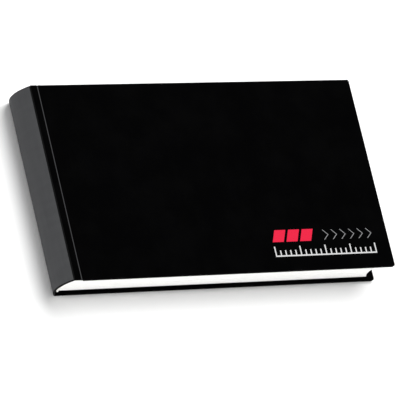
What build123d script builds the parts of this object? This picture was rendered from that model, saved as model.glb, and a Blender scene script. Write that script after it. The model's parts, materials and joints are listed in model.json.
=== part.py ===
"""Case-bound pilot logbook, landscape, lying closed on its back cover.

Frame: origin at the middle of the footprint, on the plane the book lies on. +X runs from the
spine to the fore-edge, +Y from the tail edge to the head edge, +Z from the back cover up to
the front cover. Millimetres.
"""

import os
from math import sqrt

from build123d import *

# ---- Case: the two covers and the rounded spine ----
cover_width = 216.0  # spine shoulder to fore-edge
cover_height = 116.0  # tail to head
book_thickness = 25.0  # underside of the back cover to the top of the front cover
spine_bulge = 4.6  # how far the rounded spine stands out from its shoulders
board_thickness = 1.7
covering_thickness = 0.25  # coated cloth on the boards
spine_cloth_thickness = 0.35  # heavier cloth on the spine
turn_in_width = 14.0  # cloth folded over onto the inside of a board
corner_radius = 1.2  # of the covers, seen from above
edge_rounding = 0.2  # of the covering, around the outer face

# ---- Joint: the flexible strip between the spine and each board ----
joint_width = 6.2  # shoulder to the edge of the board
groove_distance = 4.5  # shoulder to the middle of the pressed groove
groove_half_width = 0.8
groove_depth = 0.45

# ---- Text block ----
section_count = 8
head_square = 2.3  # how far the covers pass the leaves at head and tail
fore_edge_square = 5.3  # and at the fore-edge
rounding = 3.4  # rise of the rounded back, and hollow of the fore-edge
endpaper_thickness = 0.15

# ---- Spine, from the folds outwards ----
gauze_thickness = 0.25
gauze_flap_width = 24.0  # gauze glued onto the inside of a board
lining_thickness = 0.2
stiffener_thickness = 0.5
spine_hollow = 0.35  # free gap between the lining and the spine's inner turn-ins
spine_turn_in = 12.0  # spine cloth folded in at head and tail

# ---- Bands and sewing ----
band_diameter = 1.5
band_edge_gap = 0.1  # between a band and the ends of the folds
thread_diameter = 0.4
stitch_length = 9.0
stitch_rows = 6
stitch_end_distance = 14.0  # head or tail of the leaves to the first stitches

# ---- Clearances ----
flyleaf_hinge_gap = 0.3  # flyleaf's edge to the end of the rounded back
gauze_turn_in_gap = 0.3  # gauze's ends to the boards' turn-ins at head and tail
hair_gap = 0.02  # between curved faces that lie against each other

# ---- Worked out from the values above ----
cover_thickness = board_thickness + 2 * covering_thickness + endpaper_thickness
block_thickness = book_thickness - 2 * cover_thickness
section_thickness = (block_thickness - 2 * endpaper_thickness) / section_count
block_height = cover_height - 2 * head_square
half_height = cover_height / 2
half_block_height = block_height / 2
mid_z = book_thickness / 2
half_block = block_thickness / 2
fore_edge_x = (cover_width + spine_bulge) / 2
shoulder_x = fore_edge_x - cover_width
board_x = shoulder_x + joint_width
spine_radius = (mid_z**2 + spine_bulge**2) / (2 * spine_bulge)
stitch_layer = thread_diameter + 2 * hair_gap
case_wall = spine_cloth_thickness + stiffener_thickness + spine_cloth_thickness + spine_hollow
back_layers = stitch_layer + gauze_thickness + hair_gap + lining_thickness
fold_x = shoulder_x - spine_bulge + case_wall + back_layers
back_radius = (half_block**2 + rounding**2) / (2 * rounding)
back_end_x = fold_x + rounding
leaf_width = fore_edge_x - fore_edge_square - back_end_x
fold_radius = section_thickness / 2
gauze_reach = half_height - turn_in_width - gauze_turn_in_gap


def back_x(z):
    """X of the rounded back of the leaves at height z: a circular arc, outermost at mid height."""
    return fold_x + back_radius - sqrt(back_radius**2 - (z - mid_z) ** 2)


def fold_centre(index):
    """Centre, in XZ, of the round fold of one section: its circle touches the back from inside."""
    z = cover_thickness + endpaper_thickness + (index + 0.5) * section_thickness
    inner_radius = back_radius - fold_radius
    x = fold_x + back_radius - sqrt(inner_radius**2 - (z - mid_z) ** 2)
    return x, z


def block(x_low, x_high, y_half, z_low, z_high):
    """A rectangular block, centred on the book's length."""
    size = Box(x_high - x_low, 2 * y_half, z_high - z_low)
    return Pos((x_low + x_high) / 2, 0, (z_low + z_high) / 2) * size


def along_y(profile, y_low, y_high):
    """Carry a profile drawn in the XZ plane from y_low to y_high."""
    solid = extrude(profile, amount=y_high - y_low, dir=(0, 1, 0))
    return Pos(0, y_low, 0) * solid


def xz_face(*edges):
    """A face in the XZ plane from edges whose points are given as (x, 0, z)."""
    return make_face(Wire(list(edges)))


def on_back(shape):
    """The same piece for the back cover: mirrored about the middle of the thickness."""
    return mirror(shape, about=Plane.XY.offset(mid_z))


def spine_round(inset):
    """The circle that the spine's outer arc lies on, shrunk by inset."""
    centre_x = shoulder_x - spine_bulge + spine_radius
    return Pos(centre_x, 0, mid_z) * (Plane.XZ * Circle(spine_radius - inset))


def spine_shell(outer_inset, inner_inset, y_half, z_margin=0.0):
    """A curved wall of the spine between two insets, cut off at the shoulders."""
    ring = spine_round(outer_inset) - spine_round(inner_inset)
    wall = along_y(ring, -y_half, y_half)
    kept = block(shoulder_x - spine_bulge, shoulder_x, y_half, z_margin, book_thickness - z_margin)
    return wall & kept


def back_shell(inner_gap, outer_gap, y_low, y_high, z_margin=0.0):
    """A layer glued to the rounded back: an arc between two distances from the folds."""
    centre = Pos(fold_x + back_radius, 0, mid_z)
    ring = centre * (Plane.XZ * (Circle(back_radius + outer_gap) - Circle(back_radius + inner_gap)))
    layer = along_y(ring, y_low, y_high)
    z_low = cover_thickness + z_margin
    kept = block(fold_x - outer_gap, back_end_x, half_height, z_low, book_thickness - z_low)
    return layer & kept


# ---- Covers ----


def make_board():
    """Grey board of the front cover."""
    z_high = book_thickness - covering_thickness
    right = fore_edge_x - covering_thickness
    plate = block(board_x, right, half_height - covering_thickness, z_high - board_thickness, z_high)
    outer_corners = plate.edges().filter_by(Axis.Z).group_by(Axis.X)[-1]
    return fillet(outer_corners, corner_radius - covering_thickness)


def make_covering():
    """Coated cloth around the front board, with its turn-ins on three edges."""
    z_low = book_thickness - cover_thickness + endpaper_thickness
    skin = block(board_x, fore_edge_x, half_height, z_low, book_thickness)
    outer_corners = skin.edges().filter_by(Axis.Z).group_by(Axis.X)[-1]
    skin = fillet(outer_corners, corner_radius)
    top_rim = skin.faces().sort_by(Axis.Z)[-1].edges() - skin.edges().group_by(Axis.X)[0]
    skin = fillet(top_rim, edge_rounding)
    window_right = fore_edge_x - turn_in_width
    window_half = half_height - turn_in_width
    window = block(board_x, window_right, window_half, z_low, z_low + covering_thickness)
    return skin - make_board() - window


def make_gauze_flap():
    """The gauze's flap, glued under the pastedown beside the joint."""
    z_high = book_thickness - covering_thickness - board_thickness
    z_low = z_high - gauze_thickness
    return block(board_x, board_x + gauze_flap_width, gauze_reach, z_low, z_high)


def make_pastedown():
    """Endpaper glued over the turn-ins, and down onto the board between them."""
    z_turn_in = book_thickness - cover_thickness + endpaper_thickness
    z_inside = z_turn_in - endpaper_thickness
    z_board = z_turn_in + covering_thickness
    sheet = block(board_x, fore_edge_x - fore_edge_square, half_block_height, z_inside, z_turn_in)
    window_right = fore_edge_x - turn_in_width
    window_half = half_height - turn_in_width
    pressed = block(board_x, window_right, window_half, z_turn_in, z_board)
    return sheet + pressed - make_gauze_flap()


def make_joint_cloth():
    """Covering cloth from the shoulder to the board, pressed into a groove."""
    start = groove_distance - groove_half_width
    stop = groove_distance + groove_half_width

    def outline(z):
        left = Line((shoulder_x, 0, z), (shoulder_x + start, 0, z))
        dip = ThreePointArc(
            (shoulder_x + start, 0, z),
            (shoulder_x + groove_distance, 0, z - groove_depth),
            (shoulder_x + stop, 0, z),
        )
        right = Line((shoulder_x + stop, 0, z), (board_x, 0, z))
        return [left, dip, right]

    top = outline(book_thickness)
    under = outline(book_thickness - covering_thickness)
    spine_end = Line(top[0] @ 0, under[0] @ 0)
    board_end = Line(top[2] @ 1, under[2] @ 1)
    return along_y(xz_face(*top, board_end, *under, spine_end), -half_height, half_height)


# ---- Spine of the case ----


def make_spine_cloth():
    """Cloth over the rounded spine, folded in over the stiffener's ends."""
    outer = spine_shell(0, spine_cloth_thickness, half_height)
    lined = spine_cloth_thickness + stiffener_thickness
    margin = cover_thickness
    for side in (-1, 1):
        y_end = side * half_height
        y_fold = side * (half_height - spine_cloth_thickness)
        cap = spine_shell(spine_cloth_thickness, lined, half_height, margin)
        cap &= end_slab(y_end, y_fold)
        fold = spine_shell(lined, lined + spine_cloth_thickness, half_height, margin)
        fold &= end_slab(y_end, side * (half_height - spine_turn_in))
        outer = outer + cap + fold
    return outer


def end_slab(y_one, y_two):
    """A slab around the spine between two places along the book."""
    low = min(y_one, y_two)
    high = max(y_one, y_two)
    slab = block(shoulder_x - spine_bulge, shoulder_x, (high - low) / 2, 0, book_thickness)
    return Pos(0, (low + high) / 2, 0) * slab


def make_spine_stiffener():
    """Flexible card inside the spine cloth."""
    inner = spine_cloth_thickness + stiffener_thickness
    y_half = half_height - spine_cloth_thickness
    return spine_shell(spine_cloth_thickness, inner, y_half, cover_thickness)


# ---- Text block ----


def make_section(index):
    """One folded section: a rounded fold on the back's arc, cut square at the fore-edge."""
    x_fold, z_fold = fold_centre(index)
    z_low = z_fold - fold_radius
    z_high = z_fold + fold_radius
    low_edge = Line((x_fold, 0, z_low), (back_x(z_low) + leaf_width, 0, z_low))
    cut = Line((back_x(z_low) + leaf_width, 0, z_low), (back_x(z_high) + leaf_width, 0, z_high))
    high_edge = Line((back_x(z_high) + leaf_width, 0, z_high), (x_fold, 0, z_high))
    fold = ThreePointArc((x_fold, 0, z_high), (x_fold - fold_radius, 0, z_fold), (x_fold, 0, z_low))
    return along_y(xz_face(low_edge, cut, high_edge, fold), -half_block_height, half_block_height)


def make_flyleaf():
    """Free half of the front endpaper, lying on the first section."""
    z_high = book_thickness - cover_thickness
    x_low = back_end_x + flyleaf_hinge_gap
    x_high = fore_edge_x - fore_edge_square
    return block(x_low, x_high, half_block_height, z_high - endpaper_thickness, z_high)


def make_gauze():
    """Open-weave gauze glued across the folds, over the stitches."""
    outer = stitch_layer + gauze_thickness
    return back_shell(stitch_layer, outer, -gauze_reach, gauze_reach)


def make_lining():
    """Kraft paper lining over the gauze."""
    inner = stitch_layer + gauze_thickness + hair_gap
    return back_shell(inner, inner + lining_thickness, -gauze_reach, gauze_reach, fold_radius)


def make_band():
    """Rolled cotton band at the head: a roll on the ends of the folds, and its tape behind them."""
    y_low = half_block_height + band_edge_gap
    y_high = y_low + band_diameter
    roll = back_shell(stitch_layer - band_diameter, stitch_layer, y_low, y_high, fold_radius)
    outer = stitch_layer + gauze_thickness
    tape = back_shell(stitch_layer, outer, gauze_reach + hair_gap, y_high, fold_radius)
    return roll + tape


def make_thread():
    """Link stitches lying along the crests of the folds."""
    stitches = []
    first = half_block_height - stitch_end_distance
    pitch = 2 * first / (stitch_rows - 1)
    rod = Plane.XZ * Circle(thread_diameter / 2)
    centre_x = fold_x + back_radius
    reach = (back_radius + hair_gap + thread_diameter / 2) / (back_radius - fold_radius)
    for index in range(section_count):
        x_fold, z_fold = fold_centre(index)
        x = centre_x + reach * (x_fold - centre_x)
        z = mid_z + reach * (z_fold - mid_z)
        for row in range(stitch_rows):
            y_low = -first + row * pitch - stitch_length / 2
            stitches.append(along_y(Pos(x, 0, z) * rod, y_low, y_low + stitch_length))
    return Part() + stitches


def build():
    """Every piece of the logbook by name."""
    front = {
        "board": make_board(),
        "covering": make_covering(),
        "joint_cloth": make_joint_cloth(),
        "gauze_flap": make_gauze_flap(),
        "pastedown": make_pastedown(),
        "flyleaf": make_flyleaf(),
    }
    pieces = {}
    for name, shape in front.items():
        pieces["front_" + name] = shape
        pieces["back_" + name] = on_back(shape)
    for index in range(section_count):
        # sections are numbered from the front cover, as a reader meets them
        pieces[f"section_{section_count - index}"] = make_section(index)
    pieces["spine_cloth"] = make_spine_cloth()
    pieces["spine_stiffener"] = make_spine_stiffener()
    pieces["spine_gauze"] = make_gauze()
    pieces["spine_lining"] = make_lining()
    pieces["head_band"] = make_band()
    pieces["tail_band"] = mirror(make_band(), about=Plane.XZ)
    pieces["sewing_thread"] = make_thread()
    return pieces


os.makedirs("parts", exist_ok=True)
for node, shape in build().items():
    export_step(shape, f"parts/{node}.step")
print("spine shoulder x", round(shoulder_x, 3), "fold axis x", round(fold_x, 3))
print("cover thickness", round(cover_thickness, 3), "section", round(section_thickness, 4))
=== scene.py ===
# %% [markdown]
# # A case-bound pilot logbook
#
# The solid model already says where every piece of the book is and how it moves. This lesson
# gives each piece its real surface: coated black book cloth, a grey rounded spine, and a block
# of thin ledger leaves sewn in eight sections. The model is loaded first as a fixed frame, and
# every new piece takes its place from it, in metres.

# %% Load the frame
import json
import math

import bpy
import numpy as np
from mathutils import Matrix, Vector


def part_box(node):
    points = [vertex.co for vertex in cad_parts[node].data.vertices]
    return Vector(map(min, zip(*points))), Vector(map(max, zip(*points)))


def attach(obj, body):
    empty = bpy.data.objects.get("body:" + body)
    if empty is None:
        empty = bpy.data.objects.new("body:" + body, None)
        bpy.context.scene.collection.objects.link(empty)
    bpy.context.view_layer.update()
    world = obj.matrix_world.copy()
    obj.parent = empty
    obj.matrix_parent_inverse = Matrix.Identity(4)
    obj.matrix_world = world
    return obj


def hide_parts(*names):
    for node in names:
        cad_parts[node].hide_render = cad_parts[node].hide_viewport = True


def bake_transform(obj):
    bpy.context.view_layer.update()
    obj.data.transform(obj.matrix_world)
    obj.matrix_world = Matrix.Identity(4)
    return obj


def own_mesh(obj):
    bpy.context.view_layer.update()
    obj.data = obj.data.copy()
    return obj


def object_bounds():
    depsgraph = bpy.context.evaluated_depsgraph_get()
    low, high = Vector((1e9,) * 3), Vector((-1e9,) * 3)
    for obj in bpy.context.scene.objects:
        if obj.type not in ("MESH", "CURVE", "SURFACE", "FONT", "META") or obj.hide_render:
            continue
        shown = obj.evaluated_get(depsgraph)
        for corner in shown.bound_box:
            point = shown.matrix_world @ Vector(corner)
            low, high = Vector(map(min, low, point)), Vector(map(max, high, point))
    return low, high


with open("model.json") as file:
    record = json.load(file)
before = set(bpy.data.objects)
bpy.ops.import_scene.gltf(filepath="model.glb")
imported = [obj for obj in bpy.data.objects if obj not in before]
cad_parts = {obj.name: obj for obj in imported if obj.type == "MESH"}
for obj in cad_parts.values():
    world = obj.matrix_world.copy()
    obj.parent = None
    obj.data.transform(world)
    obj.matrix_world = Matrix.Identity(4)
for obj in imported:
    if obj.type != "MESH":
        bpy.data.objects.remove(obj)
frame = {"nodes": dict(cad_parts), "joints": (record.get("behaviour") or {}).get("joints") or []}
cad_box = [list(map(float, corner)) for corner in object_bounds()]
mm = 0.001
rng = np.random.default_rng(8)

# %% [markdown]
# The book is mirror-symmetric front to back about the middle of its thickness, so each piece is
# worked out once for the front cover and mirrored in Z for the back one. The few sizes that the
# shapes share are measured on the solids themselves.

# %% Sizes measured on the frame
low, high = Vector(cad_box[0]), Vector(cad_box[1])
fore_edge_x = high.x
half_height = high.y
top_z = high.z
mid_z = top_z / 2
board_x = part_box("front_board")[0].x
shoulder_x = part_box("front_joint_cloth")[0].x
spine_bulge = shoulder_x - low.x
spine_radius = (mid_z**2 + spine_bulge**2) / (2 * spine_bulge)
inside_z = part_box("front_pastedown")[0].z
paper_edge_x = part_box("front_pastedown")[1].x
cover_thickness = top_z - inside_z
leaf_half_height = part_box("section_4")[1].y
section_count = 8
section_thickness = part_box("section_4")[1].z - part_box("section_4")[0].z
flyleaf_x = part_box("front_flyleaf")[0].x
gauze_half_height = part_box("spine_gauze")[1].y
joint_places = {joint["name"]: joint["pos_m"] for joint in frame["joints"]}
fold_x = joint_places["middle_opening"][0]
rounding = flyleaf_x - 0.3 * mm - fold_x
half_block = mid_z - cover_thickness
back_radius = (half_block**2 + rounding**2) / (2 * rounding)
leaf_width = paper_edge_x - (fold_x + rounding)
print("cover", round(cover_thickness / mm, 2), "mm, section", round(section_thickness / mm, 3), "mm")

# %% [markdown]
# ## Building meshes from arrays
#
# Almost every piece of a book is a thin sheet that keeps one cross-section all along the spine's
# direction: a leaf folded round its neighbours, a strip of cloth, a layer of gauze. So a few
# small functions turn arrays of points into meshes. A mesh can also be given a UV map in metres,
# measured along the sheet, so that a weave stays with the cloth when the cloth bends.


# %% A mesh from numpy arrays
def make_piece(name, points, quads, material, uv=None, sharp=40):
    """A mesh object from an (n, 3) array and an (m, 4) array of corners. The faces are turned
    round when the sum of signed tetrahedra about the piece's own middle is negative."""
    centred = points - points.mean(axis=0)
    a, b, c, d = (centred[quads[:, i]] for i in range(4))
    volume = np.einsum("ij,ij->", a, np.cross(b, c)) + np.einsum("ij,ij->", a, np.cross(c, d))
    if volume < 0:
        quads = quads[:, ::-1]
    mesh = bpy.data.meshes.new(name)
    mesh.from_pydata(points.tolist(), [], quads.tolist())
    mesh.update()
    mesh.shade_smooth()
    mesh.set_sharp_from_angle(angle=math.radians(sharp))
    if uv is not None:
        layer = mesh.uv_layers.new(name="cloth")
        layer.data.foreach_set("uv", uv[quads.ravel()].ravel().astype(np.float32))
    mesh.materials.append(material)
    piece = bpy.data.objects.new(name, mesh)
    bpy.context.scene.collection.objects.link(piece)
    return piece


def grid_quads(rows, columns, closed=False):
    """Corners of the faces of a grid of points; closed joins the last column to the first."""
    wide = columns if closed else columns - 1
    row = np.arange(rows - 1)[:, None] * columns
    here = np.arange(wide)
    after = (here + 1) % columns
    quads = np.stack([row + here, row + after, row + columns + after, row + columns + here], -1)
    return quads.reshape(-1, 4)


def cap_quads(count):
    """Quads across a closed loop of an even number of points, between the points that face
    each other on its two sides."""
    step = np.arange(count // 2 - 1)
    return np.stack([step, count - 1 - step, count - 2 - step, step + 1], axis=-1)


def run_length(path):
    """Distance along a path, from its first point, at each of its points."""
    steps = np.linalg.norm(np.diff(path, axis=0), axis=1)
    return np.concatenate([[0], np.cumsum(steps)])


print("mesh helpers ready")

# %% [markdown]
# The sheet function carries a cross-section along Y. It takes the two sides of the sheet as
# paths of the same length in the XZ plane, and closes the long edges and the ends with quads.


# %% A sheet with one cross-section
def sheet_arrays(outer, inner, y_low, y_high, stations=2):
    """Points, quads and UVs of a sheet: outer and inner are (n, 2) paths in XZ. Row r of the grid
    is the loop outer then inner reversed, at share r / (stations - 1) from y_low to y_high. U
    runs along the outer path, and backwards below zero on the inner one."""
    count = len(outer)
    size = 2 * count
    loop = np.concatenate([outer, inner[::-1]])
    along = run_length(outer)
    along = np.concatenate([along, -1 * mm - along[::-1]])
    y = np.linspace(y_low, y_high, stations)[:, None] + np.zeros(size)
    x = np.broadcast_to(loop[:, 0], y.shape)
    z = np.broadcast_to(loop[:, 1], y.shape)
    points = np.stack([x, y, z], axis=-1).reshape(-1, 3)
    uv = np.stack([np.broadcast_to(along, y.shape), y], axis=-1).reshape(-1, 2)
    end = cap_quads(size)
    far = end[:, ::-1] + (stations - 1) * size
    return points, np.concatenate([grid_quads(stations, size, closed=True), end, far]), uv


def joined(parts):
    """One set of points, quads and UVs from several."""
    starts = np.cumsum([0] + [len(part[0]) for part in parts[:-1]])
    points = np.concatenate([part[0] for part in parts])
    quads = np.concatenate([part[1] + start for part, start in zip(parts, starts)])
    uv = np.concatenate([part[2] for part in parts])
    return points, quads, uv


def mirrored(arrays):
    """The same arrays for the back cover: z becomes the book's thickness less z."""
    points, quads, uv = arrays
    return points * [1, 1, -1] + [0, 0, top_z], quads, uv


def smooth_step(value, start, stop):
    """0 before start, 1 after stop, and 3t^2 - 2t^3 of the share t between them."""
    share = np.clip((value - start) / (stop - start), 0, 1)
    return share * share * (3 - 2 * share)


print("sheet builder ready")

# %% [markdown]
# ## Writing shaders as arithmetic
#
# A material is a network of nodes, and a long one is hard to read. Here a small class wraps one
# output socket, so that ordinary expressions such as `1 - mask` add the Math nodes, and its
# `node` method adds any other kind.


# %% A socket that takes part in expressions
class Paint:
    """One output socket in a material's node tree."""

    def __init__(self, tree, socket=None):
        self.tree = tree
        self.socket = socket

    def feed(self, target, value):
        """Link another Paint to an input socket, or set the input's own value."""
        if isinstance(value, Paint):
            self.tree.links.new(value.socket, target)
        else:
            target.default_value = value

    def node(self, kind, settings=None, inputs=None, output=0):
        """Add a node of any kind: its settings first, then the values or links of its inputs."""
        made = self.tree.nodes.new(kind)
        settings = dict(settings or {})
        stops = settings.pop("stops", None)
        for key, value in settings.items():
            setattr(made, key, value)
        if stops:
            while len(made.color_ramp.elements) < len(stops):
                made.color_ramp.elements.new(0.5)
            for element, (position, color) in zip(made.color_ramp.elements, stops):
                element.position = position
                element.color = color
        for key, value in (inputs or {}).items():
            self.feed(made.inputs[key], value)
        return Paint(self.tree, made.outputs[output])

    def math(self, operation, *terms):
        return self.node("ShaderNodeMath", {"operation": operation}, dict(enumerate(terms)))

    def __add__(self, other):
        return self.math("ADD", self, other)

    __radd__ = __add__

    def __sub__(self, other):
        return self.math("SUBTRACT", self, other)

    def __rsub__(self, other):
        return self.math("SUBTRACT", other, self)

    def __mul__(self, other):
        return self.math("MULTIPLY", self, other)

    __rmul__ = __mul__

    def __truediv__(self, other):
        return self.math("DIVIDE", self, other)

    def __gt__(self, other):
        return self.math("GREATER_THAN", self, other)

    def __abs__(self):
        return self.math("ABSOLUTE", self)

    def sine(self):
        return self.math("SINE", self)

    def root(self):
        return self.math("SQRT", self)

    def larger(self, other):
        return self.math("MAXIMUM", self, other)

    def wrapped(self, pitch):
        """The remainder after whole steps of pitch, never negative."""
        return self.math("FLOORED_MODULO", self, pitch)

    def soft(self, start, stop):
        """0 at start and 1 at stop, turning smoothly between them."""
        limits = {0: self, 1: start, 2: stop}
        return self.node("ShaderNodeMapRange", {"interpolation_type": "SMOOTHSTEP"}, limits)

    def tint(self, off, on):
        """The colour off where this is 0 and on where it is 1."""
        return self.node("ShaderNodeMix", {"data_type": "RGBA"}, {0: self, 6: off, 7: on}, output=2)

    def noise(self, scale, detail=3.0, roughness=0.5):
        """Fractal noise at this place, with scale in features per metre."""
        values = {"Vector": self, "Scale": scale, "Detail": detail, "Roughness": roughness}
        return self.node("ShaderNodeTexNoise", None, values)

    def stretched(self, x, y, z):
        """This place with each axis multiplied, which draws a pattern out along the smallest."""
        return self.node("ShaderNodeMapping", None, {"Vector": self, "Scale": (x, y, z)})

    def axis(self, index):
        return self.node("ShaderNodeSeparateXYZ", None, {0: self}, output=index)


print("paint class ready")


# %% Starting and finishing a material
def begin(name, place="object", **constants):
    """A new material, its surface shader, and the place its patterns are drawn on: Object
    coordinates, or the UV map named cloth on pieces that bend."""
    material = bpy.data.materials.new(name)
    material.use_nodes = True
    tree = material.node_tree
    surface = tree.nodes["Principled BSDF"]
    for key, value in constants.items():
        surface.inputs[key.replace("_", " ")].default_value = value
    start = Paint(tree)
    if place == "cloth":
        return material, surface, start.node("ShaderNodeUVMap", {"uv_map": "cloth"})
    return material, surface, start.node("ShaderNodeTexCoord", None, None, output="Object")


def coat(surface, color, roughness, height, distance, strength=1.0):
    """Link what varies over a surface: colour, roughness, and a height field in metres."""
    color.feed(surface.inputs["Base Color"], color)
    color.feed(surface.inputs["Roughness"], roughness)
    values = {"Strength": strength, "Distance": distance, "Height": height}
    bump = color.node("ShaderNodeBump", None, values)
    color.feed(surface.inputs["Normal"], bump)


def weave(u, v, pitch):
    """A plain weave of two thread sets: the product of a sine across and a sine along is a
    chequer of humps, positive where one thread is on top and negative where the other is."""
    turn = math.pi / pitch
    return (u * turn).sine() * (v * turn).sine()


print("materials can be started with begin() and linked with coat()")

# %% [markdown]
# ## Coated black book cloth
#
# The covers are wrapped in cotton cloth sealed with black vinyl and pressed with a fine pebble
# grain. The pebbles are the cells of a Voronoi pattern under a little noise, about 0.8 mm
# across. The sealed surface is dull and nearly black; along the board's edges, where hands rub
# it, it turns a little greyer and smoother.


# %% Cover cloth
def cover_cloth(name, place):
    """Black grained cloth: the material, its shader, the place its patterns are drawn on, and the
    colour, height and clouds that a variant may add to."""
    material, surface, spot = begin(name, place, Specular_IOR_Level=0.005)
    cells = spot.node(
        "ShaderNodeTexVoronoi",
        {"feature": "SMOOTH_F1"},
        {"Vector": spot, "Scale": 1250.0, "Smoothness": 0.6, "Randomness": 0.9},
    )
    fibres = spot.noise(5200.0, 2.0)
    clouds = spot.noise(45.0, 4.0, 0.6)
    pebble = 1 - cells
    black = clouds.soft(0.35, 0.7).tint((0.0003, 0.0003, 0.0004, 1), (0.0009, 0.0009, 0.0010, 1))
    height = pebble + 0.18 * fibres
    return material, surface, spot, black, height, clouds


cover_material, surface, spot, black, height, clouds = cover_cloth("black_cover_cloth", "object")
worn_x = spot.axis(0).soft(fore_edge_x - 0.9 * mm, fore_edge_x - 0.1 * mm)
worn_y = abs(spot.axis(1)).soft(half_height - 0.9 * mm, half_height - 0.1 * mm)
scuffs = spot.noise(380.0, 4.0, 0.65).soft(0.5, 0.75)
worn = worn_x.larger(worn_y) * scuffs
color = (worn * 0.5).tint(black, (0.014, 0.014, 0.0145, 1))
coat(surface, color, 0.62 - 0.12 * height + 0.1 * clouds, height, 0.06 * mm, 0.5)
print("made", cover_material.name)

# %% [markdown]
# The strip between the spine and each board is the same cloth, pressed with a hot iron into a
# groove. The iron leaves the bottom of the groove a little smoother, and the fine grey line all
# along the book is a painted highlight in the groove. This strip bends, so its grain is drawn on
# the UV map, and so is the line.

# %% Joint cloth
groove_x = 4.6 * mm
joint_material, surface, spot, black, height, clouds = cover_cloth("black_joint_cloth", "cloth")
beside = abs(spot.axis(0) - groove_x)
# Painted highlight: a lighter grey colour along the groove stands for the light the groove catches.
line = 1 - beside.soft(0.15 * mm, 0.45 * mm)
color = line.tint(black, (0.048, 0.0487, 0.0505, 1))
coat(surface, color, 0.6 - 0.15 * line, height * (1 - line), 0.06 * mm, 0.5)
print("made", joint_material.name)

# %% [markdown]
# ## Grey spine cloth
#
# The spine is covered with an uncoated woven cloth in dark grey. A plain weave at half a
# millimetre gives it a dry, slightly furry surface: the sheen lobe catches light along the
# bulge. The ends are turned in round the card, and there the cloth is coloured near black, a
# painted shade along the spine's ends; along each shoulder the near black is the joint's black
# cloth lapping over the grey.

# %% Spine cloth
spine_material, surface, spot = begin(
    "grey_spine_cloth", "cloth", Specular_IOR_Level=0.08, Sheen_Weight=0.03, Sheen_Roughness=0.5
)
u, v = spot.axis(0), spot.axis(1)
threads = weave(u, v, 0.42 * mm)
slubs_across = spot.stretched(260.0, 30.0, 1.0).noise(1.0, 3.0)
slubs_along = spot.stretched(30.0, 260.0, 1.0).noise(1.0, 3.0)
slubs = slubs_across - slubs_along
lightness = (threads * 0.5 + 0.5 + slubs * 0.8).soft(0.0, 1.0)
grey = lightness.tint((0.0520, 0.0530, 0.0553, 1), (0.0690, 0.0704, 0.0734, 1))
spine_run = 2 * spine_radius * math.asin(mid_z / spine_radius)
overlap = abs(u - spine_run / 2).soft(spine_run / 2 - 0.95 * mm, spine_run / 2 - 0.85 * mm)
# Painted shade: near black over the fold round each end and the turn-in behind it, for the shade along
# the spine's ends; overlap is the joint's black cloth at each shoulder.
turned = abs(v).soft(half_height - 0.75 * mm, half_height - 0.55 * mm)
turned = turned.larger(overlap)
color = turned.tint(grey, (0.0012, 0.0012, 0.0013, 1))
coat(surface, color, 0.82 + 0.08 * threads, threads * threads, 0.05 * mm, 0.6)
print("made", spine_material.name)

# %% [markdown]
# ## Papers
#
# Ledger paper is white, smooth and opaque. Its faces carry a pale buff ground printed up to the
# trim, and over it, inside the margins, rules every 6 mm across the page, columns along it, a
# green band on every other row and heavier rules for the heading and the totals. Each of these
# is a mask on Object coordinates. The cut edges show the paper's own white: they are what lies
# in the last tenths of a millimetre before the head, the tail or the fore-edge's arc.


# %% Ledger page
def stripes(value, pitch, half_width):
    """1 within half_width of each whole step of pitch, and 0 elsewhere."""
    return 1 - abs((value + pitch / 2).wrapped(pitch) - pitch / 2).soft(half_width * 0.6, half_width)


leaf_material, surface, spot = begin("ledger_leaves", "object", Specular_IOR_Level=0.25)
x, y, z = spot.axis(0), spot.axis(1), spot.axis(2)
left = fold_x + 14 * mm
right = paper_edge_x - 9 * mm
bottom = -leaf_half_height + 8 * mm
top = leaf_half_height - 8 * mm
inside = (x > left) * (right - x > 0.0) * (y > bottom) * (top - y > 0.0)
rows = y - bottom
heading = rows > 84 * mm
body = 1 - heading
band = ((rows.wrapped(12 * mm)) > 6 * mm) * body * inside
rule = stripes(rows, 6 * mm, 0.12 * mm) * body
column = stripes(x - left, 13.5 * mm, 0.12 * mm)
frame_line = stripes(rows - 84 * mm, 200 * mm, 0.3 * mm)
totals = stripes(rows - 12 * mm, 200 * mm, 0.25 * mm)
ink = rule.larger(column)
ink = ink.larger(frame_line)
ink = ink.larger(totals) * inside
fibres = spot.noise(2600.0, 4.0, 0.6)
buff = fibres.soft(0.3, 0.7).tint((0.54, 0.53, 0.48, 1), (0.60, 0.59, 0.54, 1))
banded = band.tint(buff, (0.40, 0.50, 0.42, 1))
printed = (ink * 0.75).tint(banded, (0.10, 0.18, 0.20, 1))
drop = back_radius - ((z - mid_z) * (mid_z - z) + back_radius**2).root()
cut_x = x - drop - (fold_x + leaf_width)
cut = cut_x.larger(abs(y) - leaf_half_height).soft(-0.3 * mm, -0.2 * mm)
white = fibres.soft(0.3, 0.7).tint((0.86, 0.86, 0.84, 1), (0.90, 0.90, 0.885, 1))
page = cut.tint(printed, white)
coat(surface, page, 0.78 + 0.12 * fibres, fibres, 0.01 * mm, 0.4)
print("made", leaf_material.name)


# %% Other papers and boards
def fibrous(name, place, dark, light, grain, roughness, relief):
    """Paper or board: long and short fibres of noise between two colours."""
    material, surface, spot = begin(name, place, Specular_IOR_Level=0.25)
    long_fibres = spot.stretched(1.0, 0.25, 1.0).noise(grain, 5.0, 0.65)
    specks = spot.noise(grain * 2.4, 2.0).soft(0.62, 0.78)
    mix = long_fibres.soft(0.3, 0.7) - 0.6 * specks
    color = mix.soft(0.0, 1.0).tint(dark, light)
    coat(surface, color, roughness + 0.1 * long_fibres, long_fibres, relief, 0.5)
    return material


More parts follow.
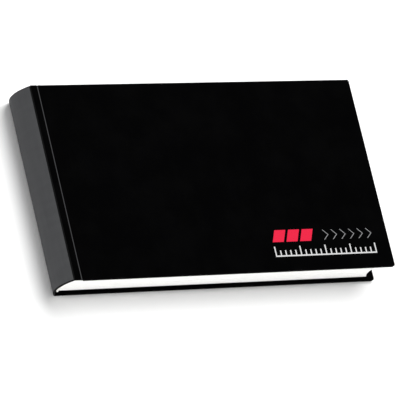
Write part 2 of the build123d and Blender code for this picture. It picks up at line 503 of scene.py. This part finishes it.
board_material = fibrous(
    "grey_board", "object", (0.30, 0.295, 0.275, 1), (0.46, 0.45, 0.42, 1), 700.0, 0.85, 0.08 * mm
)
kraft_material = fibrous(
    "kraft_lining", "cloth", (0.54, 0.50, 0.42, 1), (0.68, 0.64, 0.56, 1), 800.0, 0.75, 0.03 * mm
)
card_material = fibrous(
    "spine_card", "cloth", (0.40, 0.36, 0.29, 1), (0.55, 0.50, 0.42, 1), 800.0, 0.85, 0.04 * mm
)
print("made two papers and the board")


# %% Endpaper
def endpaper(name, place):
    """Paper printed grey on its faces; its edges at the head, the tail and the fore-edge, the last
    tenth of a millimetre of Y and of X, are left white."""
    material, surface, spot = begin(name, place, Specular_IOR_Level=0.25)
    fibres = spot.stretched(1.0, 0.25, 1.0).noise(900.0, 5.0, 0.65)
    specks = spot.noise(2200.0, 2.0).soft(0.62, 0.78)
    mix = (fibres.soft(0.3, 0.7) - 0.6 * specks).soft(0.0, 1.0)
    grey = mix.tint((0.42, 0.42, 0.41, 1), (0.52, 0.52, 0.505, 1))
    past_end = abs(spot.axis(1)) - leaf_half_height
    cut = (spot.axis(0) - paper_edge_x).larger(past_end).soft(-0.15 * mm, -0.08 * mm)
    color = cut.tint(grey, (0.88, 0.88, 0.865, 1))
    coat(surface, color, 0.8 + 0.1 * fibres, fibres, 0.02 * mm, 0.5)
    return material


endpaper_material = endpaper("endpaper", "object")
hinge_material = endpaper("endpaper_hinge", "cloth")
print("made the endpaper")


# %% [markdown]
# Gauze, called mull, is a stiff open cotton net. Seen close, each thread is a third of the
# square it makes, and glue shows dull between them. The bands and the sewing thread are plain
# cotton, ribbed by their twist.


# %% Gauze, bands and thread
def gauze_cloth(name, place, across, along):
    """Open net: a square of side 1 mm with threads 0.35 mm wide on the two axes given."""
    material, surface, spot = begin(name, place, Specular_IOR_Level=0.1)
    one = stripes(spot.axis(across), 1.0 * mm, 0.22 * mm)
    two = stripes(spot.axis(along), 1.0 * mm, 0.22 * mm)
    net = one.larger(two)
    fuzz = spot.noise(4000.0, 3.0)
    color = (net * (0.7 + 0.5 * fuzz)).soft(0.0, 1.0).tint((0.58, 0.56, 0.50, 1), (0.80, 0.785, 0.74, 1))
    coat(surface, color, 0.9 - 0.2 * (1 - net), net + 0.2 * fuzz, 0.1 * mm, 0.7)
    return material


def ribbed(name, place, axis, pitch, dark, light):
    """Twisted cotton: rounded ribs across one axis, with painted shade darkening the valleys."""
    material, surface, spot = begin(name, place, Specular_IOR_Level=0.15, Sheen_Weight=0.1)
    slope = spot.axis(axis) + 0.35 * spot.axis(1 - axis)
    rib = abs((slope * (math.pi / pitch)).sine())
    fuzz = spot.noise(6000.0, 3.0)
    # Painted shade: the colour follows the ribs' height, darker down in the valleys between them.
    color = (rib * (0.8 + 0.4 * fuzz)).soft(0.0, 0.9).tint(dark, light)
    coat(surface, color, 0.85 + 0.1 * fuzz, rib, 0.15 * mm, 0.8)
    return material


flap_material = gauze_cloth("gauze_flap", "object", 0, 1)
gauze_material = gauze_cloth("spine_gauze", "cloth", 0, 1)
band_material = ribbed(
    "cotton_band", "cloth", 0, 0.7 * mm, (0.55, 0.54, 0.50, 1), (0.88, 0.87, 0.83, 1)
)
thread_material = ribbed(
    "linen_thread", "cloth", 1, 0.5 * mm, (0.45, 0.40, 0.30, 1), (0.80, 0.76, 0.66, 1)
)
print("made the gauze, band and thread cloths")

# %% [markdown]
# The title is stamped with pigment foil, a film a few hundredths of a millimetre thick that
# lies in the cloth's grain. It is glossier than the cloth and breaks up slightly on the pebbles.


# %% Stamping foils
def foil(name, dark, light):
    """Pigment foil over grained cloth: tiny gaps of darker colour between the pebbles."""
    material, surface, spot = begin(name, "object", Specular_IOR_Level=0.08)
    grain = spot.node(
        "ShaderNodeTexVoronoi", {"feature": "SMOOTH_F1"}, {"Vector": spot, "Scale": 1250.0}
    )
    specks = spot.noise(5000.0, 2.0)
    color = (grain + 0.4 * specks - 0.2).soft(0.55, 1.1).tint(light, dark)
    coat(surface, color, 0.42 + 0.15 * specks, 1 - grain, 0.03 * mm, 0.4)
    return material


red_foil = foil("red_foil", (0.36, 0.003, 0.018, 1), (0.60, 0.005, 0.036, 1))
grey_foil = foil("grey_foil", (0.12, 0.12, 0.125, 1), (0.21, 0.21, 0.215, 1))
white_foil = foil("white_foil", (0.36, 0.36, 0.36, 1), (0.52, 0.52, 0.52, 1))
print("made three foils")

# %% [markdown]
# ## The covers
#
# Each board is wrapped from outside: the cloth runs over the face, round the edges and 14 mm
# onto the inside. The wrap is a stack of outlines, each one inset from the cover's edge by an
# amount and lying at a height, joined into rings. A flat wall closes the joint side, where the
# cloth goes down over the board's edge. Solidify then gives the cloth its thickness.


# %% Cover wraps
turn_in_width = 14 * mm
corner_radius = 1.2 * mm
wrap_thickness = 0.24 * mm


def cover_outline(inset):
    """The cover seen from above, from the joint along the tail, round both fore-edge corners
    and back along the head: straight runs and two quarter circles, all inset by one amount."""
    radius = max(corner_radius - inset, 0.05 * mm)
    half = half_height - inset
    right = fore_edge_x - inset
    turn = np.linspace(-math.pi / 2, 0, 7)
    corner_x = right - radius + radius * np.cos(turn)
    corner_y = -half + radius + radius * np.sin(turn)
    tail = np.stack([corner_x, corner_y], axis=-1)
    head = tail[::-1] * [1, -1]
    side_x = board_x - 0.03 * mm
    return np.concatenate([[[side_x, -half]], tail, head, [[side_x, half]]])


def cover_wrap():
    """Rings of (inset, z) from the turn-in's inner edge, round the lower and upper edges as two
    quarter circles, to the outer face, which is closed by quads from tail to head."""
    under = inside_z + 0.15 * mm
    lower = 0.25 * mm
    upper = 0.25 * mm
    turn = np.linspace(0, math.pi / 2, 5)
    insets = [turn_in_width, 1.0 * mm]
    insets += list(lower - lower * np.sin(turn)) + list(upper - upper * np.cos(turn)) + [1.0 * mm]
    levels = [under, under]
    levels += list(under + lower - lower * np.cos(turn)) + list(top_z - upper + upper * np.sin(turn))
    levels += [top_z]
    rings = [
        np.column_stack([cover_outline(inset), np.full(16, level)])
        for inset, level in zip(insets, levels)
    ]
    points = np.concatenate(rings)
    step = np.arange(7)
    last = 16 * (len(rings) - 1)
    face = last + np.stack([step, step + 1, 14 - step, 15 - step], axis=-1)
    row = 16 * np.arange(1, len(rings) - 1)
    side = np.stack([row, row + 15, row + 31, row + 16], axis=-1)
    quads = np.concatenate([grid_quads(len(rings), 16), face, side])
    return points, quads, points[:, :2]


def add_thickness(piece, thickness):
    """Give an open surface a wall that grows inwards from it."""
    wall = piece.modifiers.new("thickness", "SOLIDIFY")
    wall.thickness = thickness
    wall.offset = -1
    wall.use_even_offset = True


front_wrap = cover_wrap()
sides = {"front": (lambda arrays: arrays), "back": mirrored}
for side, place in sides.items():
    piece = make_piece(f"{side}_cover_wrap", *place(front_wrap)[:2], cover_material)
    add_thickness(piece, wrap_thickness)
    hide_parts(f"{side}_covering")
    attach(piece, f"{side}_cover")
    board = frame["nodes"][f"{side}_board"]
    board.material_slots[0].material = board_material
    flap = frame["nodes"][f"{side}_gauze_flap"]
    flap.material_slots[0].material = flap_material
print("wrapped two covers,", len(front_wrap[1]), "faces each")

# %% [markdown]
# ## The joints
#
# A hinge of cloth bends along its whole width. Here each joint strip is built in its place at
# rest and baked there, tied to neither the spine nor the board. The pressed groove is a cosine
# dip in its cross-section.


# %% Joint strips
def joint_strip():
    """Outer side: z is the cover's face less a dip of 0.4 mm times half of one plus the cosine of
    the distance from the groove; inner side: 0.24 mm under it. Under both ends lie the turned-in
    ends of the cloth, over a cord of the same width."""
    near = np.linspace(0, 3 * mm, 13)
    groove = np.linspace(3.4 * mm, 5.8 * mm, 15)
    across = np.concatenate([near, groove, [board_x - 0.03 * mm - shoulder_x]])
    share = np.clip((across - groove_x) / (1.0 * mm), -1, 1)
    dip = 0.4 * mm * (0.5 + 0.5 * np.cos(math.pi * share))
    outer = np.stack([shoulder_x + across, top_z - dip], axis=-1)
    parts = [sheet_arrays(outer, outer - [0, wrap_thickness], -half_height, half_height, 5)]
    for end in (-1, 1):
        y_low, y_high = sorted([end * (half_height - 12 * mm), end * (half_height - 0.02 * mm)])
        folded = outer - [0, 0.26 * mm]
        part = sheet_arrays(folded, folded - [0, 0.5 * mm], y_low, y_high)
        parts.append((part[0], part[1], part[2] - [20 * mm, 0]))
    return joined(parts)


leaves_of = {"front": "front_leaves", "back": "back_leaves"}
for side, place in sides.items():
    points, quads, uv = place(joint_strip())
    piece = make_piece(f"{side}_joint_strip", points, quads, joint_material, uv)
    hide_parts(f"{side}_joint_cloth")
    level = top_z if side == "front" else 0.0
    end = (shoulder_x + 2.2 * mm, 0, level)
    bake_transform(piece)
print("made two joint strips")

# %% [markdown]
# ## The endpapers
#
# Half of each endpaper is pasted to its board and half is free. The pasted half shows what lies
# under it: it sinks a little between the turn-ins and stands over the gauze's flap. That is a
# height field on a grid, the product of three smooth steps.


# %% Pasted and free halves
def slab_arrays(xs, ys, lower, upper):
    """A closed slab between two height fields on the same grid, with walls round its four sides."""
    rows, columns = len(xs), len(ys)
    x = np.repeat(xs, columns)
    y = np.tile(ys, rows)
    bottom = np.stack([x, y, lower.ravel()], axis=-1)
    top = np.stack([x, y, upper.ravel()], axis=-1)
    under = grid_quads(rows, columns)
    over = under[:, ::-1] + rows * columns
    index = np.arange(rows * columns).reshape(rows, columns)
    rim = np.concatenate([index[0, :-1], index[:-1, -1], index[-1, :0:-1], index[:0:-1, 0]])
    after = np.roll(rim, -1)
    shift = rows * columns
    walls = np.stack([after, rim, rim + shift, after + shift], axis=-1)
    points = np.concatenate([bottom, top])
    return points, np.concatenate([under, over, walls]), points[:, :2]


def steps_round(low_end, edges, high_end):
    """Grid lines: the two ends, and nine lines across the millimetre around each edge."""
    lines = [np.linspace(edge - 0.8 * mm, edge + 0.8 * mm, 9) for edge in edges]
    return np.concatenate([[low_end], *lines, [high_end]])


step_gap = 0.6 * mm
window_x = fore_edge_x - turn_in_width - step_gap
window_y = half_height - turn_in_width - step_gap
flap_width = 24 * mm
flap_x = board_x + flap_width + step_gap
xs = steps_round(board_x, [flap_x, window_x], paper_edge_x)
ys = steps_round(-leaf_half_height, [-window_y, window_y], leaf_half_height)
x, y = np.meshgrid(xs, ys, indexing="ij")
slope = 0.7 * mm
sunk = smooth_step(x, flap_x - slope, flap_x + slope)
sunk = sunk * (1 - smooth_step(x, window_x - slope, window_x + slope))
sunk = sunk * (1 - smooth_step(abs(y), window_y - slope, window_y + slope))
lower = inside_z + 0.2 * mm * sunk
pasted = slab_arrays(xs, ys, lower, lower + 0.145 * mm)
free_x = np.linspace(flyleaf_x, paper_edge_x, 12)
free_y = np.linspace(-leaf_half_height, leaf_half_height, 8)
flat = np.full((12, 8), inside_z - 0.15 * mm)
free = slab_arrays(free_x, free_y, flat, flat + 0.14 * mm)
for side, place in sides.items():
    piece = make_piece(f"{side}_pasted_endpaper", *place(pasted)[:2], endpaper_material)
    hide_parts(f"{side}_pastedown")
    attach(piece, f"{side}_cover")
    piece = make_piece(f"{side}_free_endpaper", *place(free)[:2], endpaper_material)
    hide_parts(f"{side}_flyleaf")
    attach(piece, leaves_of[side])
print("made four endpaper halves")


# %% The fold between the halves
def endpaper_fold():
    """A straight run from the free half's edge to the pasted half's, 0.14 mm thick."""
    share = np.linspace(0, 1, 21)
    x = flyleaf_x + share * (board_x + 0.3 * mm - flyleaf_x)
    z = inside_z - 0.15 * mm + share * 0.15 * mm
    lower = np.stack([x, z], axis=-1)
    upper = lower + [0, 0.14 * mm]
    return sheet_arrays(upper, lower, -leaf_half_height, leaf_half_height)


for side, place in sides.items():
    points, quads, uv = place(endpaper_fold())
    piece = make_piece(f"{side}_endpaper_fold", points, quads, hinge_material, uv)
    level = inside_z if side == "front" else top_z - inside_z
    end = (flyleaf_x + 2.4 * mm, 0, level)
    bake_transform(piece)
print("joined the endpaper halves across the joints")

# %% [markdown]
# ## The spine of the case
#
# The spine wrap follows an arc of a circle from one shoulder to the other. Along the book its
# profile runs over the outside, round a small half circle at each end and back 12 mm on the
# inside. One grid of the two parameters, the share of the arc and the step along the profile,
# makes the whole wrap. When the book lies open at its middle the real spine folds nearly flat
# between the covers; here the wrap and its card keep their shape and move with the back leaves.


# %% Wrap and card
def spine_arc(inset, share):
    """Points of the spine's arc with its radius less inset; share runs from -1 at the back
    shoulder to 1 at the front one, where the arc meets the plane of the shoulders."""
    centre_x = shoulder_x - spine_bulge + spine_radius
    radius = spine_radius - inset
    angle = share * np.arccos((centre_x - shoulder_x) / radius)
    return np.stack([centre_x - radius * np.cos(angle), mid_z + radius * np.sin(angle)], axis=-1)


def spine_wrap():
    """Every point of the profile (inset, y) carried to every share of the spine's arc."""
    turn = np.linspace(0, math.pi, 9)
    fold = 0.6 * mm
    y_fold = half_height - fold
    cap_inset = fold - fold * np.cos(turn)
    cap_y = y_fold + fold * np.sin(turn)
    outer_y = np.array([-57.0, -40.0, -20.0, 0.0, 20.0, 40.0, 57.0]) * mm
    tail_side = np.array([[2 * fold, -46 * mm], [2 * fold, -56.6 * mm]])
    head_side = tail_side[::-1] * [1, -1]
    tail_cap = np.stack([cap_inset[::-1], -cap_y[::-1]], axis=-1)
    head_cap = np.stack([cap_inset, cap_y], axis=-1)
    flat = np.stack([np.zeros(7), outer_y], axis=-1)
    profile = np.concatenate([tail_side, tail_cap, flat, head_cap, head_side])
    length = run_length(profile)
    length = length - length.mean()
    length = length - (length[0] + length[-1]) / 2
    inset, share = np.meshgrid(profile[:, 0], np.linspace(-1, 1, 41), indexing="ij")
    arc = spine_arc(inset, share)
    x, z = arc[..., 0], arc[..., 1]
    y = np.broadcast_to(profile[:, 1][:, None], x.shape)
    round_spine = run_length(spine_arc(0, np.linspace(-1, 1, 41)))
    u = np.broadcast_to(round_spine, x.shape)
    v = np.broadcast_to(length[:, None], x.shape)
    points = np.stack([x, y, z], axis=-1).reshape(-1, 3)
    uv = np.stack([u, v], axis=-1).reshape(-1, 2)
    return points, grid_quads(len(profile), 41), uv


points, quads, uv = spine_wrap()
wrap = make_piece("spine_wrap", points, quads, spine_material, uv)
add_thickness(wrap, 0.33 * mm)
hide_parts("spine_cloth")
shares = np.linspace(-0.9, 0.9, 33)
card_arrays = sheet_arrays(
    spine_arc(0.37 * mm, shares),
    spine_arc(0.83 * mm, shares),
    -half_height + 0.5 * mm,
    half_height - 0.5 * mm,
)
card = make_piece("spine_card", *card_arrays[:2], card_material, card_arrays[2])
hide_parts("spine_stiffener")
for piece in (wrap, card):
    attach(piece, "back_leaves")
    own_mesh(piece)
print("made the spine wrap and its card")

# %% [markdown]
# ## The leaves
#
# A section is eight sheets folded together. Each sheet is one path: in from the fore-edge, half
# a circle round the fold, and out again; the next sheet inside has a smaller half circle. The
# fore-edge follows the same arc as the rounded back, so every leaf ends where the arc puts it.
# The guillotine leaves edges that differ by a few hundredths of a millimetre, which is enough
# to draw the fine lines of a cut block.

# %% Folded sheets
sheets = 8
pitch = section_thickness / 2 / sheets


def back_x(z):
    """X of the rounded back at height z: a circle through the outermost fold."""
    return fold_x + back_radius - np.sqrt(back_radius**2 - (z - mid_z) ** 2)


def fold_centre(z):
    """X of the centre of a section's fold, whose circle touches the back's arc from inside."""
    inner = back_radius - section_thickness / 2
    return fold_x + back_radius - math.sqrt(inner**2 - (z - mid_z) ** 2)


def folded_path(z, radius, ends):
    """From the fore-edge to the fold, round a half circle, and back to the fore-edge."""
    x = fold_centre(z)
    turn = np.linspace(-math.pi / 2, -3 * math.pi / 2, 11)
    nose = np.stack([x + radius * np.cos(turn), z + radius * np.sin(turn)], axis=-1)
    start = [[back_x(z - radius) + leaf_width - ends[0], z - radius]]
    stop = [[back_x(z + radius) + leaf_width - ends[1], z + radius]]
    return np.concatenate([start, nose, stop])


def section_arrays(z):
    """The sheets of one section, outermost first, each with its own small trimming errors."""
    parts = []
    for sheet in range(sheets):
        outer_radius = section_thickness / 2 - sheet * pitch
        inner_radius = outer_radius - 0.93 * pitch
        ends = rng.uniform(0.0, 0.07 * mm, 2)
        trim = rng.uniform(0.0, 0.05 * mm, 2)
        outer = folded_path(z, outer_radius, ends)
        inner = folded_path(z, inner_radius, ends)
        low_y = -leaf_half_height + trim[0]
        high_y = leaf_half_height - trim[1]
        parts.append(sheet_arrays(outer, inner, low_y, high_y))
    return joined(parts)


body_of_section = {1: "front_leaves", section_count: "back_leaves"}
first_z = cover_thickness + 0.15 * mm + section_thickness / 2
for number in range(1, section_count + 1):
    z = first_z + (section_count - number) * section_thickness
    points, quads, uv = section_arrays(z)
    name = f"section_{number}"
    piece = make_piece(f"section_{number}_sheets", points, quads, leaf_material, uv)
    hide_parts(name)
    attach(piece, body_of_section.get(number, name))
print("made", section_count * sheets, "folded sheets")

# %% [markdown]
# ## Gauze, lining, bands and stitches
#
# Over the folds lie the link stitches, the gauze glued across them and a strip of pale kraft.
# At the head and the tail a rolled cotton band covers the ends of the folds. The glued layers
# bend where the book opens, between the fourth and the fifth section; here they are built in
# place and stay fixed.


# %% Layers on the rounded back
def back_arc(gap, z_low, z_high, count=41):
    """An arc about the same centre as the rounded back, gap outside it, from z_low to z_high.
    The points crowd towards the middle, where the layer folds."""
    share = np.linspace(-1, 1, count)
    share = 0.35 * share + 0.65 * share**3
    z = (z_low + z_high) / 2 + share * (z_high - z_low) / 2
    radius = back_radius + gap
    x = fold_x + back_radius - np.sqrt(radius**2 - (z - mid_z) ** 2)
    return np.stack([x, z], axis=-1)


def fold_at_middle(piece):
    """Bake the piece's place into its mesh; it stays where it is built and follows no leaves."""
    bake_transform(piece)


stitch_gap = 0.44 * mm
low_z = cover_thickness + 0.05 * mm


def glued_layer(name, material, gap, thickness, margin):
    """A sheet between two arcs, short of both shoulders by a margin."""
    outer = back_arc(gap + thickness, low_z + margin, top_z - low_z - margin)
    inner = back_arc(gap, low_z + margin, top_z - low_z - margin)
    points, quads, uv = sheet_arrays(outer, inner, -gauze_half_height, gauze_half_height, 7)
    piece = make_piece(name, points, quads, material, uv)
    fold_at_middle(piece)
    return piece


gauze = glued_layer("gauze_on_folds", gauze_material, stitch_gap + 0.01 * mm, 0.23 * mm, 0.0)
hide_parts("spine_gauze")
lining = glued_layer("kraft_strip", kraft_material, stitch_gap + 0.28 * mm, 0.18 * mm, 1.2 * mm)
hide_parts("spine_lining")
print("glued the gauze and the lining")


# %% Head and tail bands
def band_arrays(end):
    """A profile of distance from the folds and y, a roll with its tape, carried round the arc and
    drawn in to nearly nothing over the last part of it; end is +1 at the head, -1 at the tail."""
    turn = np.linspace(0.5, -1.5, 18) * math.pi
    radius = 0.72 * mm
    roll_y = leaf_half_height + 0.87 * mm
    roll_gap = stitch_gap - radius - 0.03 * mm
    roll = np.stack([roll_gap + radius * np.sin(turn), roll_y + radius * np.cos(turn)], axis=-1)
    tape_y = gauze_half_height + 0.05 * mm
    tape = np.array(
        [
            [stitch_gap + 0.01 * mm, tape_y],
            [stitch_gap + 0.2 * mm, tape_y],
            [stitch_gap + 0.2 * mm, roll_y],
        ]
    )
    profile = np.concatenate([roll[:-1], tape])
    z = back_arc(0, cover_thickness + 1.3 * mm, top_z - cover_thickness - 1.3 * mm, 61)[:, 1]
    angle = np.arcsin((z - mid_z) / back_radius)
    rows, columns = len(angle), len(profile)
    near_end = np.clip((abs(angle) / angle.max() - 0.94) / 0.06, 0, 1)
    taper = np.sqrt(1.0025 - near_end**2)[:, None]
    middle = profile.mean(axis=0)
    radius = back_radius + middle[0] + taper * (profile[:, 0] - middle[0])
    x = fold_x + back_radius - np.cos(angle)[:, None] * radius
    z = mid_z + np.sin(angle)[:, None] * radius
    y = end * (middle[1] + taper * (profile[:, 1] - middle[1]))
    points = np.stack([x, y, z], axis=-1).reshape(-1, 3)
    u = np.broadcast_to((angle * back_radius)[:, None], x.shape)
    v = np.broadcast_to(run_length(profile), x.shape)
    uv = np.stack([u, v], axis=-1).reshape(-1, 2)
    start = cap_quads(columns)
    finish = start[:, ::-1] + (rows - 1) * columns
    return points, np.concatenate([grid_quads(rows, columns, closed=True), start, finish]), uv


for name, end in (("head", 1), ("tail", -1)):
    points, quads, uv = band_arrays(end)
    piece = make_piece(f"{name}_cotton_band", points, quads, band_material, uv)
    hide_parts(f"{name}_band")
    fold_at_middle(piece)
print("rolled two bands")


# %% Stitches
def stitch_arrays(x, z, y_middle):
    """A thread 0.4 mm thick along Y whose ends dip into the fold: the centre line leaves the
    crest by the fourth power of the share along it."""
    share = np.linspace(-1, 1, 13)
    turn = np.linspace(0, 2 * math.pi, 8, endpoint=False)
    radius = 0.19 * mm
    centre_x = x + 0.5 * mm * share**4
    ring_x = centre_x[:, None] + radius * np.cos(turn)
    ring_z = z + radius * np.sin(turn) + np.zeros((13, 1))
    ring_y = (y_middle + 4.4 * mm * share)[:, None] + np.zeros(8)
    points = np.stack([ring_x, ring_y, ring_z], axis=-1).reshape(-1, 3)
    u = np.broadcast_to(turn * radius, ring_x.shape)
    uv = np.stack([u, ring_y], axis=-1).reshape(-1, 2)
    start = cap_quads(8)
    finish = start[:, ::-1] + 12 * 8
    return points, np.concatenate([grid_quads(13, 8, closed=True), start, finish]), uv


rows_y = np.linspace(-1, 1, 6) * (leaf_half_height - 14 * mm)
for number in range(1, section_count + 1):
    z_fold = first_z + (section_count - number) * section_thickness
    x_fold = fold_centre(z_fold)
    centre_x = fold_x + back_radius
    reach = (back_radius + stitch_gap / 2) / (back_radius - section_thickness / 2)
    x_thread = centre_x + reach * (x_fold - centre_x)
    z_thread = mid_z + reach * (z_fold - mid_z)
    points, quads, uv = joined([stitch_arrays(x_thread, z_thread, y) for y in rows_y])
    piece = make_piece(f"section_{number}_stitches", points, quads, thread_material, uv)
    if number == section_count:
        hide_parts("sewing_thread")
    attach(piece, body_of_section.get(number, f"section_{number}"))
print("sewed", section_count * len(rows_y), "stitches")

# %% [markdown]
# ## The stamped title block
#
# The foil block near the tail of the front cover is a plain ornament: three leaning red
# stripes, a row of fine grey chevrons, and below them a white graduated scale like the one on
# an instrument. All of it is flat plates of foil a few hundredths of a millimetre thick, so one
# function that makes a plate from four corners serves for every mark.


# %% Foil plates
def plate_arrays(corners):
    """A plate from four corners given as (x, y) in millimetres, on the front cover's face."""
    flat = np.array(corners, float) * mm
    bottom = np.column_stack([flat, np.full(4, top_z + 0.002 * mm)])
    top = np.column_stack([flat, np.full(4, top_z + 0.03 * mm)])
    points = np.concatenate([bottom, top])
    walls = [[0, 1, 5, 4], [1, 2, 6, 5], [2, 3, 7, 6], [3, 0, 4, 7]]
    quads = np.array([[3, 2, 1, 0], [4, 5, 6, 7]] + walls)
    return points, quads, points[:, :2]


def add_foil(name, plates, material):
    """One piece made of several plates, which turns with the front cover."""
    points, quads = joined([plate_arrays(corners) for corners in plates])[:2]
    piece = make_piece(name, points, quads, material)
    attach(piece, "front_cover")


def leaning_bar(left, width, low, high, lean):
    """A parallelogram whose upper side is moved to the right by lean."""
    return [(left, low), (left + width, low), (left + width + lean, high), (left + lean, high)]


stripes_red = [leaning_bar(left, 7.6, -40.6, -33.4, 3.0) for left in (30.0, 39.4, 48.8)]
add_foil("title_red_stripes", stripes_red, red_foil)
chevrons = []
for left in (65.5, 71.5, 77.5, 83.5, 89.5, 95.5):
    chevrons.append(leaning_bar(left, 0.6, -40.2, -37.2, 3.2))
    chevrons.append(leaning_bar(left + 3.2, 0.6, -37.2, -34.2, -3.2))
add_foil("title_chevrons", chevrons, grey_foil)
scale = [leaning_bar(30.0, 70.0, -49.5, -48.7, 0.0)]
for tick in range(21):
    height = 5.4 if tick % 5 == 0 else 3.0
    scale.append(leaning_bar(30.0 + 3.46 * tick, 0.8, -48.7, -48.7 + height, 0.0))
add_foil("title_scale", scale, white_foil)
print("stamped the stripes, the chevrons and the scale")

# %% [markdown]
# ## Camera, light and floor
#
# A long lens well away from the book keeps its edges nearly parallel. The camera looks down
# over the spine and the tail and is rolled about its own axis, so that the head edge of the
# cover lies across the top of the view. The light is a white surround with two soft lamps: a
# large one high behind the head, which leaves a soft shadow beside the spine and below the
# tail, and a low one before the tail, which whitens the cut edges of the leaves.

# %% Camera
azimuth = math.radians(-61.853)
elevation = math.radians(51.639)
roll = math.radians(53.723)
distance = 2677 * mm
target = Vector((-3.269 * mm, -8.875 * mm, mid_z))
level = math.cos(elevation)
back = Vector((math.sin(azimuth) * level, -math.cos(azimuth) * level, math.sin(elevation)))
level_right = Vector((math.cos(azimuth), math.sin(azimuth), 0))
level_up = back.cross(level_right)
right = level_right * math.cos(roll) + level_up * math.sin(roll)
up = back.cross(right)
camera_data = bpy.data.cameras.new("camera")
camera_data.lens = 425.5
camera_data.sensor_width = 36
camera = bpy.data.objects.new("camera", camera_data)
turned = Matrix((right, up, back)).transposed().to_4x4()
camera.matrix_world = Matrix.Translation(target + back * distance) @ turned
bpy.context.scene.collection.objects.link(camera)
bpy.context.scene.camera = camera
print("camera at", [round(value, 3) for value in camera.matrix_world.translation])


# %% Lamps, surround and floor
def add_lamp(name, place, size, power):
    """A square lamp at a place, aimed at the book."""
    data = bpy.data.lights.new(name, "AREA")
    data.size = size
    data.energy = power
    lamp = bpy.data.objects.new(name, data)
    place = Vector(place)
    lamp.matrix_world = Matrix.Translation(place) @ place.to_track_quat("Z", "Y").to_matrix().to_4x4()
    bpy.context.scene.collection.objects.link(lamp)
    return lamp


add_lamp("key_lamp", (0.42, 0.66, 1.32), 1.2, 28.0)
add_lamp("tail_lamp", (-0.7, -1.5, 0.18), 0.7, 19.0)
world = bpy.data.worlds.new("surround")
world.use_nodes = True
world.node_tree.nodes["Background"].inputs["Color"].default_value = (1, 1, 1, 1)
world.node_tree.nodes["Background"].inputs["Strength"].default_value = 0.52
bpy.context.scene.world = world
bpy.context.scene.view_settings.view_transform = "Standard"

floor_material, surface, spot = begin("pale_floor", "object", Specular_IOR_Level=0.0)
speckle = spot.noise(300.0, 2.0)
pale = speckle.tint((0.93, 0.93, 0.93, 1), (0.94, 0.94, 0.94, 1))
coat(surface, pale, 0.9 + 0.05 * speckle, speckle, 0.01 * mm, 0.1)
reach = 4.0
corners = np.array([[-reach, -reach, 0], [reach, -reach, 0], [reach, reach, 0], [-reach, reach, 0]])
floor = make_piece("floor", corners - [0, 0, 0.05 * mm], np.array([[0, 1, 2, 3]]), floor_material)
print("lit the book")
